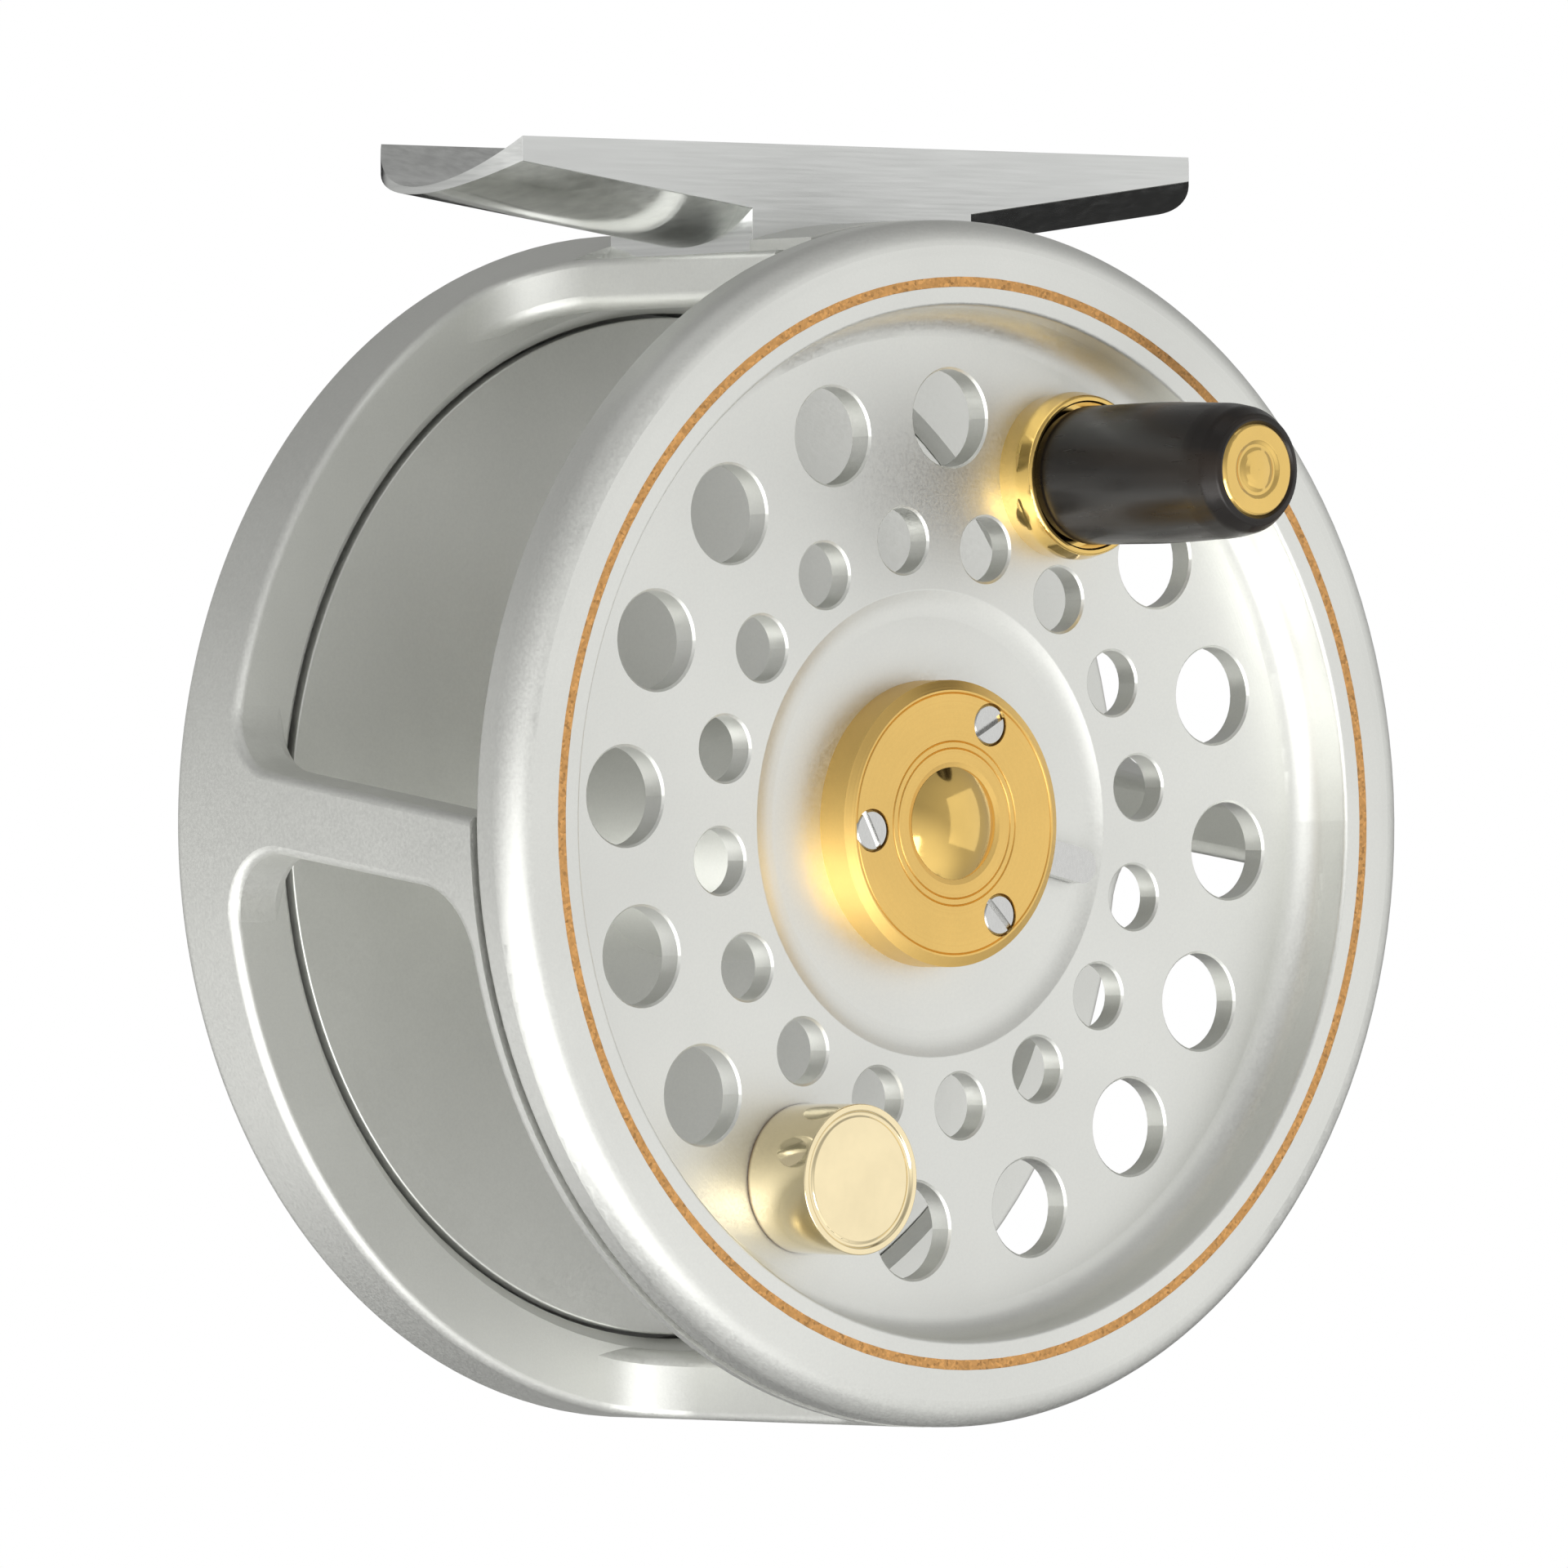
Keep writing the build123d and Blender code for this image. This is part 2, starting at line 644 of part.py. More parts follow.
def spool_front_flange():
    """The front of the spool: rim, groove for the inlay, dish, perforated web and recess."""
    flange = turned([
        (CENTRE_HOLE_R, RECESS_FLOOR),
        (14.57, RECESS_FLOOR, 3.4),
        (RECESS_R, WEB_FRONT, 0.25),
        (DISH_R, WEB_FRONT, DISH_COVE),
        (DISH_R, 0, 0.3),
        (INLAY_IN_R, 0.0),
        (INLAY_IN_R, INLAY_DEPTH),
        (INLAY_OUT_R, INLAY_DEPTH),
        (INLAY_OUT_R, 0.0),
        (37.3, 0.06, 6.0),
        (RIM_R, 0.28, RIM_ROUND),
        (RIM_R, RIM_THICK, 0.3),
        (FLANGE_R, RIM_THICK, 0.6),
        (FLANGE_R, WEB_BACK, 0.7),
        (CENTRE_HOLE_R, WEB_BACK),
    ])
    for tool in web_holes():
        flange -= tool
    for x, z in cover_screw_places():
        flange -= disc(COVER_SCREW_R, 0, 12, x, z)
    for x, z in hub_screw_places():
        flange -= countersink(x, z, RECESS_FLOOR, WEB_BACK + PAST, HUB_SCREW_R, HUB_SCREW_HEAD_R)
    for x, z in ((HANDLE_X, HANDLE_Z), (WEIGHT_X, WEIGHT_Z)):
        flange -= countersink(x, z, WEB_BACK, WEB_FRONT - PAST, RIVET_R, RIVET_HEAD_R, 1.1)
    return flange


def rim_inlay():
    """The thin band of cork composite let into the rim's face."""
    return ring(INLAY_OUT_R, INLAY_IN_R, 0.02, INLAY_DEPTH)


def spool_arbor():
    """The drum that the line winds on."""
    arbor = ring(ARBOR_R, ARBOR_BORE_R, WEB_BACK, REAR_FLANGE_FRONT)
    for x, z in cover_screw_places():
        arbor -= disc(COVER_SCREW_R, 0, COVER_SCREW_TIP, x, z)
    for x, z in hub_screw_places():
        arbor -= disc(HUB_SCREW_R, 0, HUB_SCREW_TIP, x, z)
    for x, z in gear_screw_places():
        arbor -= disc(GEAR_SCREW_R, GEAR_SCREW_TIP, 32, x, z)
    return arbor


def spool_rear_flange():
    flange = turned([
        (ARBOR_BORE_R, REAR_FLANGE_FRONT),
        (REAR_FLANGE_R, REAR_FLANGE_FRONT, 0.12),
        (REAR_FLANGE_R, REAR_FLANGE_BACK, 0.12),
        (ARBOR_BORE_R, REAR_FLANGE_BACK),
    ])
    for x, z in gear_screw_places():
        flange -= disc(GEAR_SCREW_R, 28, 32, x, z)
    return flange


def hub_bush():
    """The bronze bush down the middle of the drum."""
    return ring(ARBOR_BORE_R, SPINDLE_R + RUNNING, WEB_BACK, GEAR_BACK)


def hub_screws():
    screws = []
    for index, (x, z) in enumerate(hub_screw_places()):
        screws.append(countersunk(x, z, RECESS_FLOOR, HUB_SCREW_TIP, HUB_SCREW_R, HUB_SCREW_HEAD_R,
                                  50 * index))
    return Compound(screws)


def gear_screws():
    screws = []
    for index, (x, z) in enumerate(gear_screw_places()):
        screws.append(countersunk(x, z, GEAR_BACK, GEAR_SCREW_TIP, GEAR_SCREW_R, GEAR_SCREW_HEAD_R,
                                  15 + 40 * index))
    return Compound(screws)


# --- latch --------------------------------------------------------------------------------------
def latch_pivot_place():
    return cover_screw_places()[2]


def latch_hole_place():
    """Centre of the latch's hole at rest, drawn aside so that its edge lies in the groove."""
    x, z = latch_pivot_place()
    length = sqrt(x * x + z * z)
    return z / length * LATCH_OFFSET, -x / length * LATCH_OFFSET


def latch_plate():
    """The lever that holds the spool on: hub, ring round the spindle and thumb tongue."""
    pivot_x, pivot_z = latch_pivot_place()
    hole_x, hole_z = latch_hole_place()
    lever = disc(LATCH_RING_R, LATCH_FRONT, LATCH_BACK, hole_x, hole_z)
    lever += disc(LATCH_HUB_R, LATCH_FRONT, LATCH_BACK, pivot_x, pivot_z)
    middle_x = (hole_x + pivot_x) / 2
    middle_z = (hole_z + pivot_z) / 2
    lever += disc(2.4, LATCH_FRONT, LATCH_BACK, middle_x, middle_z)
    straight = LATCH_REACH - LATCH_WIDTH / 2
    tongue = block((3.4, LATCH_FRONT, -LATCH_WIDTH / 2), (straight, LATCH_BACK, LATCH_WIDTH / 2))
    tongue += disc(LATCH_WIDTH / 2, LATCH_FRONT, LATCH_BACK, straight, 0)
    lever += Rot(0, -LATCH_ANGLE, 0) * tongue
    lever -= disc(LATCH_HOLE_R, 2, 6, hole_x, hole_z)
    return lever - disc(SLEEVE_R + 0.04, 2, 6, pivot_x, pivot_z)


def latch_sleeve():
    """The spacer on a cover screw that the latch turns on."""
    return ring(SLEEVE_R, COVER_SCREW_R, COVER_ROOF, RECESS_FLOOR, *latch_pivot_place())


def latch_spring():
    """The bowed leaf that presses the latch's ring into the spindle's groove."""
    leaf = 0.3
    line = [polar(7.6, 3), polar(4.2, 27), polar(7.6, 50)]
    backing = [polar(7.6 + leaf, 50), polar(4.2 + leaf, 27), polar(7.6 + leaf, 3)]
    return plate(line + backing, LATCH_FRONT + 0.1, LATCH_BACK - 0.1)


def latch_cover():
    """The round cover over the latch, with its fine turned lines, screw seats and tongue slot."""
    cover = turned([
        (0, COVER_FACE + 0.35),
        (DOME_R, COVER_FACE + 0.35),
        (DOME_R, COVER_FACE + 0.12),
        (DOME_R + 0.35, COVER_FACE),
        (4.88, COVER_FACE),
        (4.95, COVER_FACE + 0.1),
        (5.02, COVER_FACE),
        (5.34, COVER_FACE),
        (5.41, COVER_FACE + 0.1),
        (5.48, COVER_FACE),
        (8.53, COVER_FACE),
        (8.60, COVER_FACE + 0.1),
        (8.67, COVER_FACE),
        (COVER_CHAMFER_R, COVER_FACE),
        (COVER_R, COVER_CHAMFER_Y),
        (COVER_R, RECESS_FLOOR),
        (COVER_CAVITY_R, RECESS_FLOOR),
        (COVER_CAVITY_R, COVER_ROOF),
        (0, COVER_ROOF),
    ])
    cover -= disc(LATCH_RELIEF_R, COVER_ROOF, RECESS_FLOOR + PAST, *latch_pivot_place())
    for x, z in cover_screw_places()[:2]:
        cover += disc(COVER_BOSS_R, COVER_ROOF, RECESS_FLOOR, x, z)
    for x, z in cover_screw_places():
        cover -= disc(COVER_SCREW_R, 0, 6, x, z)
        cover -= disc(COVER_SCREW_HEAD_R + 0.08, 0, COVER_FACE + 0.6, x, z)
    slot = block((COVER_CAVITY_R - 1.5, COVER_ROOF + 0.4, -2.3), (COVER_R + PAST, RECESS_FLOOR + PAST, 1.45))
    return cover - Rot(0, -LATCH_ANGLE, 0) * slot


def cover_dome():
    """The polished dome at the middle of the cover."""
    seat = COVER_FACE + 0.35
    top = COVER_FACE - DOME_HEIGHT
    edge_y = COVER_FACE + 0.12
    rise = edge_y - top
    ball_r = (DOME_R ** 2 + rise ** 2) / (2 * rise)
    ball = Pos(0, top + ball_r, 0) * Sphere(ball_r)
    return ball & disc(DOME_R - 0.01, top - PAST, seat)


def cover_screws():
    """The three slotted screws; each head sits in a counterbore just under the cover's face."""
    screws = []
    slot_angles = [28, 118, 135]
    for (x, z), angle in zip(cover_screw_places(), slot_angles):
        face = COVER_FACE + 0.05
        head = turned([
            (0, face - 0.05),
            (COVER_SCREW_HEAD_R * 0.6, face - 0.03),
            (COVER_SCREW_HEAD_R - 0.12, face),
            (COVER_SCREW_HEAD_R, face + 0.12),
            (COVER_SCREW_HEAD_R, COVER_FACE + 0.6),
            (COVER_SCREW_R, COVER_FACE + 0.6),
            (COVER_SCREW_R, COVER_SCREW_TIP),
            (0, COVER_SCREW_TIP),
        ], x, z)
        screws.append(slotted(head, COVER_SCREW_HEAD_R, face, x, z, angle, 0.42, 0.35))
    return Compound(screws)


# --- handle and counterweight -------------------------------------------------------------------
def handle_collar():
    """The rounded gold collar at the foot of the handle, cupped for the end of the grip."""
    return turned([
        (POST_R, COLLAR_FLOOR),
        (COLLAR_CUP_R, COLLAR_FLOOR),
        (COLLAR_CUP_R, COLLAR_FRONT + 0.12),
        (COLLAR_CUP_R + 0.12, COLLAR_FRONT),
        (COLLAR_R - 0.3, COLLAR_FRONT, 0.25),
        (COLLAR_R, COLLAR_FRONT + 1.2, 1.4),
        (COLLAR_R - 0.12, WEB_FRONT),
        (POST_R, WEB_FRONT),
    ], HANDLE_X, HANDLE_Z)


def handle_post():
    """The pin riveted through the web that the handle turns on."""
    return turned([
        (0, POST_TIP),
        (2.0, POST_TIP, 0.2),
        (2.0, CAP_SEAT - 0.2),
        (POST_R, CAP_SEAT - 0.2),
        (POST_R, WEB_FRONT - 0.01),
        (RIVET_R, WEB_FRONT),
        (RIVET_R, WEB_BACK - 1.1),
        (RIVET_HEAD_R, WEB_BACK - 0.15),
        (RIVET_HEAD_R, WEB_BACK),
        (0, WEB_BACK),
    ], HANDLE_X, HANDLE_Z)


def handle_sleeve():
    """The brass tube that lines the grip."""
    return ring(SLEEVE_OUT_R, POST_R + RUNNING, CAP_SEAT, COLLAR_FLOOR - 0.1, HANDLE_X, HANDLE_Z)


def handle_grip():
    """The horn grip: slightly bellied, with round ends and a seat for the cap."""
    start = COLLAR_FLOOR - 0.2
    belly = (start + GRIP_TIP) / 2
    return turned([
        (SLEEVE_OUT_R, start),
        (GRIP_BASE_R - 0.35, start, 0.6),
        (GRIP_BASE_R, start - 1.3, 1.2),
        (GRIP_BELLY_R, belly, 60.0),
        (GRIP_TIP_R, GRIP_TIP + 2.5, 5.0),
        (GRIP_TIP_R - 0.25, GRIP_TIP + 1.0, 1.2),
        (GRIP_TIP_R - 0.8, GRIP_TIP + 0.12, 0.35),
        (GRIP_TIP_R - 1.1, GRIP_TIP),
        (CAP_R + 0.12, GRIP_TIP),
        (CAP_R, GRIP_TIP + 0.15),
        (CAP_R, CAP_SEAT),
        (SLEEVE_OUT_R, CAP_SEAT),
    ], HANDLE_X, HANDLE_Z)


def handle_cap():
    """The gold plug that closes the end of the grip, with a shallow round groove in its face."""
    return turned([
        (0, GRIP_TIP - 0.08),
        (0.6, GRIP_TIP - 0.06, 2.0),
        (1.2, GRIP_TIP + 0.06, 1.5),
        (1.6, GRIP_TIP + 0.2, 0.3),
        (1.95, GRIP_TIP + 0.03, 0.4),
        (CAP_R - 0.22, GRIP_TIP - 0.04, 0.3),
        (CAP_R, GRIP_TIP + 0.15),
        (CAP_R, POST_TIP - 0.3),
        (0, POST_TIP - 0.3),
    ], HANDLE_X, HANDLE_Z)


def counterweight():
    """The polished brass weight opposite the handle."""
    return turned([
        (0, WEIGHT_FACE - 0.1),
        (3.0, WEIGHT_FACE - 0.06, 6.0),
        (WEIGHT_R - 0.6, WEIGHT_FACE + 0.08, 1.5),
        (WEIGHT_R, WEIGHT_FACE + 0.6, 0.7),
        (WEIGHT_R, WEB_FRONT),
        (RIVET_R, WEB_FRONT),
        (RIVET_R, WEB_FRONT - 2.5),
        (0, WEB_FRONT - 2.5),
    ], WEIGHT_X, WEIGHT_Z)


def counterweight_rivet():
    return turned([
        (0, WEB_FRONT - 2.5),
        (RIVET_R, WEB_FRONT - 2.5),
        (RIVET_R, WEB_BACK - 1.1),
        (RIVET_HEAD_R, WEB_BACK - 0.15),
        (RIVET_HEAD_R, WEB_BACK),
        (0, WEB_BACK),
    ], WEIGHT_X, WEIGHT_Z)


NODES = [
    cage_frame, back_plate, back_plate_screws, foot, foot_screws,
    spindle, spindle_nut, thrust_washer, check_gear, click_pawl, pawl_post, spring_post, click_spring,
    regulator_bush, regulator_cam, regulator_knob,
    spool_front_flange, rim_inlay, spool_arbor, spool_rear_flange, hub_bush, hub_screws, gear_screws,
    latch_plate, latch_sleeve, latch_spring, latch_cover, cover_dome, cover_screws,
    handle_collar, handle_post, handle_sleeve, handle_grip, handle_cap,
    counterweight, counterweight_rivet,
]

os.makedirs("parts", exist_ok=True)
for make_node in NODES:
    save(make_node.__name__, make_node())
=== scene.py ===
"""Fly reel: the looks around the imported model, laid out as an add-on with an operator for each group."""

import math

import bpy
from mathutils import Matrix, Vector


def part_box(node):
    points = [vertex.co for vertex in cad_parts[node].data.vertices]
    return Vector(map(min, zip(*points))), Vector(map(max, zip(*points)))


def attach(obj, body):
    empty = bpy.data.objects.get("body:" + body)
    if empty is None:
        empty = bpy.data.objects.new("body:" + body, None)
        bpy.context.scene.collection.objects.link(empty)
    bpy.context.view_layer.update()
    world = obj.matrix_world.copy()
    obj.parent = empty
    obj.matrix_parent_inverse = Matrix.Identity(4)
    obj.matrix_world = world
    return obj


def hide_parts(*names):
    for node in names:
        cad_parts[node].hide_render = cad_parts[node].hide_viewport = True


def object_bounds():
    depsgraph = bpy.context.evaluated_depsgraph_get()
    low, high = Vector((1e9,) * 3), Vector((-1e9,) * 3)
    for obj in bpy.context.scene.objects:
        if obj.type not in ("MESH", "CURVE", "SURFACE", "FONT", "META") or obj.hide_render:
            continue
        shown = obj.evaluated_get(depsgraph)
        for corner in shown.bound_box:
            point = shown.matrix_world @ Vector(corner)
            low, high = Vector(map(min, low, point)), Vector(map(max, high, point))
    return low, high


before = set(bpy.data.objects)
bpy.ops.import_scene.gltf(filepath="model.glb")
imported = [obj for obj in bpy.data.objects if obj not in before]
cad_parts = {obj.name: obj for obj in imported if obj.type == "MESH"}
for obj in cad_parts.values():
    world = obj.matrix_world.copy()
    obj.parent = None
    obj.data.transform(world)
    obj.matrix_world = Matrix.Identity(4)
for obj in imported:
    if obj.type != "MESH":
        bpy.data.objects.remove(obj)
CAD_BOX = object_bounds()

bl_info = {
    "name": "Fly Reel",
    "version": (1, 0, 0),
    "blender": (4, 5, 0),
    "location": "View3D > Sidebar > Fly Reel",
    "description": "Makes the pieces, finishes and studio of a click-and-pawl fly reel",
    "category": "Object",
}

MM = 0.001

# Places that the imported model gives: the spool's axis runs along Y through SPOOL_AXIS.
RIM_LOW, RIM_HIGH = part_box("spool_front_flange")
SPOOL_AXIS = Vector(((RIM_LOW[0] + RIM_HIGH[0]) / 2, 0.0, (RIM_LOW[2] + RIM_HIGH[2]) / 2))


def centre_of(node):
    """The middle of a node's box."""
    low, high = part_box(node)
    return (Vector(low) + Vector(high)) / 2


NOISE_ROUGHNESS = 0.55

# The counterweight's front, from its rim inwards: width of each inset and how far it then sinks.
WEIGHT_RINGS = ((0.42 * MM, 0.0), (0.10 * MM, 0.16 * MM), (0.22 * MM, 0.0), (0.12 * MM, -0.10 * MM))
WEIGHT_EDGE = 0.16 * MM
WEIGHT_SIDES = 128

FLOOR_RADIUS = 0.5

# What the camera aims at, from the spool's axis at the origin's station.
AIM_OFFSET = Vector((-0.0099, -0.0100, 0.00267))

# Softboxes: name, place from the reel's middle, width and height in metres, and power in watts.
SOFTBOXES = (
    ("low_left", (-0.45, -0.62, -0.45), (0.7, 0.5), 4.0),
    ("front_right", (0.75, -0.75, 0.05), (0.9, 0.9), 1.0),
    ("left_wall", (-0.75, 0.05, -0.50), (0.8, 0.5), 2.0),
    ("top", (-0.1, -0.25, 0.9), (0.7, 0.5), 0.35),
)

# The least that the surroundings give, so that no mirror turns quite black.
DARKEST = 0.03

# Lobes of the studio's light: direction, cosine where a lobe starts and is full, and strength.
LOBES = (
    ((0.0, -1.0, 0.0), -3.0, -2.0, 0.44),
    ((-0.42, -0.45, -0.79), 0.2, 0.95, 0.72),
    ((0.664, -0.747, 0.0), 0.4, 1.0, 0.15),
    ((-0.85, 0.5, 0.0), 0.3, 1.0, 0.08),
    ((0.60, 0.68, -0.42), 0.70, 0.93, -0.60),
    ((0.0, 0.3, 1.0), 0.2, 1.0, -0.15),
)


# --- settings -----------------------------------------------------------------------------------
class ReelFinish(bpy.types.PropertyGroup):
    """Colours of the reel's finishes."""

    silver: bpy.props.FloatVectorProperty(
        name="Silver", description="Blasted and clear anodised aluminium",
        subtype="COLOR", size=4, min=0.0, max=1.0, default=(0.80, 0.805, 0.775, 1.0))
    foot_silver: bpy.props.FloatVectorProperty(
        name="Foot", description="Brushed aluminium of the foot",
        subtype="COLOR", size=4, min=0.0, max=1.0, default=(0.80, 0.81, 0.80, 1.0))
    gold: bpy.props.FloatVectorProperty(
        name="Gold", description="Satin gold anodised aluminium",
        subtype="COLOR", size=4, min=0.0, max=1.0, default=(0.84, 0.56, 0.18, 1.0))
    bright_gold: bpy.props.FloatVectorProperty(
        name="Bright gold", description="Polished gold of the collar, cap and dome",
        subtype="COLOR", size=4, min=0.0, max=1.0, default=(0.80, 0.54, 0.16, 1.0))
    brass: bpy.props.FloatVectorProperty(
        name="Brass", description="Pale lacquered brass of the counterweight",
        subtype="COLOR", size=4, min=0.0, max=1.0, default=(0.93, 0.79, 0.50, 1.0))
    cork: bpy.props.FloatVectorProperty(
        name="Cork", description="Cork composite of the rim's inlay",
        subtype="COLOR", size=4, min=0.0, max=1.0, default=(0.52, 0.27, 0.09, 1.0))
    horn: bpy.props.FloatVectorProperty(
        name="Horn", description="Dark horn of the grip",
        subtype="COLOR", size=4, min=0.0, max=1.0, default=(0.012, 0.010, 0.009, 1.0))


class ReelStudio(bpy.types.PropertyGroup):
    """Camera and light of the studio."""

    azimuth: bpy.props.FloatProperty(
        name="Azimuth", description="Side from which the reel is seen",
        subtype="ANGLE", default=math.radians(-41.64))
    elevation: bpy.props.FloatProperty(
        name="Elevation", description="Height of the view above the horizon",
        subtype="ANGLE", default=math.radians(-0.23))
    roll: bpy.props.FloatProperty(
        name="Roll", description="Turn of the camera about its line of sight",
        subtype="ANGLE", default=math.radians(0.44))
    distance: bpy.props.FloatProperty(
        name="Distance", description="From the camera to its aim point",
        unit="LENGTH", default=1.010)
    lens: bpy.props.FloatProperty(
        name="Lens", description="Focal length on a 36 mm sensor",
        unit="CAMERA", default=353.4)
    floor_drop: bpy.props.FloatProperty(
        name="Floor", description="Depth of the floor below the saddle",
        unit="LENGTH", default=0.60)


# --- node helpers -------------------------------------------------------------------------------
class Nodes:
    """A short hand for building one material's node tree."""

    def __init__(self, name):
        self.material = bpy.data.materials.new(name)
        self.material.use_nodes = True
        self.tree = self.material.node_tree
        self.shader = self.tree.nodes["Principled BSDF"]
        self.coordinates = self.tree.nodes.new("ShaderNodeTexCoord").outputs["Object"]

    def put(self, **values):
        """Sets sockets of the shader that are the same all over."""
        for name, value in values.items():
            self.shader.inputs[name.replace("_", " ")].default_value = value
        return self

    def node(self, kind, **settings):
        made = self.tree.nodes.new(kind)
        for name, value in settings.items():
            setattr(made, name, value)
        return made

    def link(self, source, target):
        self.tree.links.new(source, target)

    def mapping(self, location=(0, 0, 0), scale=(1, 1, 1)):
        """Object coordinates moved and scaled."""
        made = self.node("ShaderNodeMapping")
        made.inputs["Location"].default_value = location
        made.inputs["Scale"].default_value = scale
        self.link(self.coordinates, made.inputs["Vector"])
        return made.outputs["Vector"]

    def noise(self, vector, scale, detail):
        made = self.node("ShaderNodeTexNoise")
        made.inputs["Scale"].default_value = scale
        made.inputs["Detail"].default_value = detail
        made.inputs["Roughness"].default_value = NOISE_ROUGHNESS
        self.link(vector, made.inputs["Vector"])
        return made.outputs["Fac"]

    def spread(self, value, low, high, source_low=0.3, source_high=0.7):
        """Maps a value to a range."""
        made = self.node("ShaderNodeMapRange")
        made.inputs["From Min"].default_value = source_low
        made.inputs["From Max"].default_value = source_high
        made.inputs["To Min"].default_value = low
        made.inputs["To Max"].default_value = high
        self.link(value, made.inputs["Value"])
        return made.outputs["Result"]

    def maths(self, operation, first, second=None):
        made = self.node("ShaderNodeMath", operation=operation)
        for index, value in enumerate((first, second)):
            if value is None:
                continue
            if isinstance(value, (int, float)):
                made.inputs[index].default_value = value
            else:
                self.link(value, made.inputs[index])
        return made.outputs[0]

    def ramp(self, value, stops):
        """A colour ramp; stops are (place, colour)."""
        made = self.node("ShaderNodeValToRGB")
        elements = made.color_ramp.elements
        while len(elements) < len(stops):
            elements.new(0.5)
        for element, (place, colour) in zip(elements, stops):
            element.position = place
            element.color = colour
        self.link(value, made.inputs["Fac"])
        return made.outputs["Color"]

    def bump(self, height, strength, distance):
        made = self.node("ShaderNodeBump")
        made.inputs["Strength"].default_value = strength
        made.inputs["Distance"].default_value = distance
        self.link(height, made.inputs["Height"])
        return made.outputs["Normal"]

    def along(self, axis):
        """One part of the object coordinates, in metres."""
        parts = self.node("ShaderNodeSeparateXYZ")
        self.link(self.coordinates, parts.inputs[0])
        return parts.outputs[axis]

    def radius(self, centre):
        """Distance from an axis along Y through centre."""
        moved = self.mapping(location=(-centre[0], 0, -centre[2]))
        flat = self.node("ShaderNodeVectorMath", operation="MULTIPLY")
        flat.inputs[1].default_value = (1.0, 0.0, 1.0)
        self.link(moved, flat.inputs[0])
        length = self.node("ShaderNodeVectorMath", operation="LENGTH")
        self.link(flat.outputs[0], length.inputs[0])
        return length.outputs["Value"]

    def turned_lines(self, centre, scale):
        """Fine rings about an axis along Y, as a turning tool leaves them."""
        lines = self.node("ShaderNodeTexNoise", noise_dimensions="1D")
        lines.inputs["Scale"].default_value = scale
        lines.inputs["Detail"].default_value = 2.0
        self.link(self.radius(centre), lines.inputs["W"])
        return lines.outputs["Fac"]

    def blend(self, factor, first, second):
        """Mixes two colours."""
        made = self.node("ShaderNodeMix", data_type="RGBA")
        self.link(factor, made.inputs["Factor"])
        for socket, value in ((made.inputs[6], first), (made.inputs[7], second)):
            if isinstance(value, bpy.types.NodeSocket):
                self.link(value, socket)
            else:
                socket.default_value = value
        return made.outputs[2]


def shade(colour, factor):
    """A colour made lighter or darker."""
    return tuple(min(1.0, part * factor) for part in colour[:3]) + (1.0,)


# --- materials ----------------------------------------------------------------------------------
def blasted_silver(name, colour, lines_centre=None, roughness=0.52):
    """Bead blasted, clear anodised aluminium; with a centre it also has fine turned lines."""
    build = Nodes(name)
    build.put(Metallic=1.0)
    cloud = build.noise(build.coordinates, 45.0, 3.0)
    grain = build.noise(build.coordinates, 5200.0, 2.0)
    tone = build.maths("ADD", build.maths("MULTIPLY", cloud, 0.6), build.maths("MULTIPLY", grain, 0.4))
    colours = build.ramp(tone, [(0.3, shade(colour, 0.93)), (0.7, shade(colour, 1.06))])
    build.link(colours, build.shader.inputs["Base Color"])
    build.link(build.spread(grain, roughness - 0.05, roughness + 0.06), build.shader.inputs["Roughness"])
    height = grain
    if lines_centre is not None:
        lines = build.turned_lines(lines_centre, 5200.0)
        height = build.maths("ADD", build.maths("MULTIPLY", grain, 0.6), build.maths("MULTIPLY", lines, 0.4))
    build.link(build.bump(height, 0.3, 0.00002), build.shader.inputs["Normal"])
    return build.material


def brushed_silver(name, colour, front_y):
    """Aluminium of the foot: its sides are brushed along X, its milled faces bright with tool marks; the
    front face's darker colour is painted shade.
    """
    build = Nodes(name)
    build.put(Metallic=1.0)
    lines = build.noise(build.mapping(scale=(0.03, 1.0, 1.0)), 5200.0, 3.0)
    marks = build.noise(build.mapping(scale=(0.35, 0.02, 1.0)), 2600.0, 2.0)
    broad = build.noise(build.mapping(scale=(0.3, 1.0, 1.0)), 160.0, 2.0)
    milled = build.spread(build.along("Y"), 0.0, 1.0, front_y + 0.00002, front_y + 0.00012)
    # Painted shade: the brushed front face gets a darker colour than the milled faces behind it.
    side = build.ramp(broad, [(0.3, shade(colour, 0.78)), (0.7, shade(colour, 0.86))])
    bright = build.ramp(marks, [(0.3, shade(colour, 0.9)), (0.7, shade(colour, 1.1))])
    build.link(build.blend(milled, side, bright), build.shader.inputs["Base Color"])
    roughness = build.node("ShaderNodeMix", data_type="FLOAT")
    build.link(milled, roughness.inputs["Factor"])
    build.link(build.spread(lines, 0.36, 0.5), roughness.inputs[2])
    build.link(build.spread(marks, 0.10, 0.2), roughness.inputs[3])
    build.link(roughness.outputs[0], build.shader.inputs["Roughness"])
    height = build.node("ShaderNodeMix", data_type="FLOAT")
    build.link(milled, height.inputs["Factor"])
    build.link(lines, height.inputs[2])
    build.link(marks, height.inputs[3])
    build.link(build.bump(height.outputs[0], 0.18, 0.000015), build.shader.inputs["Normal"])
    return build.material


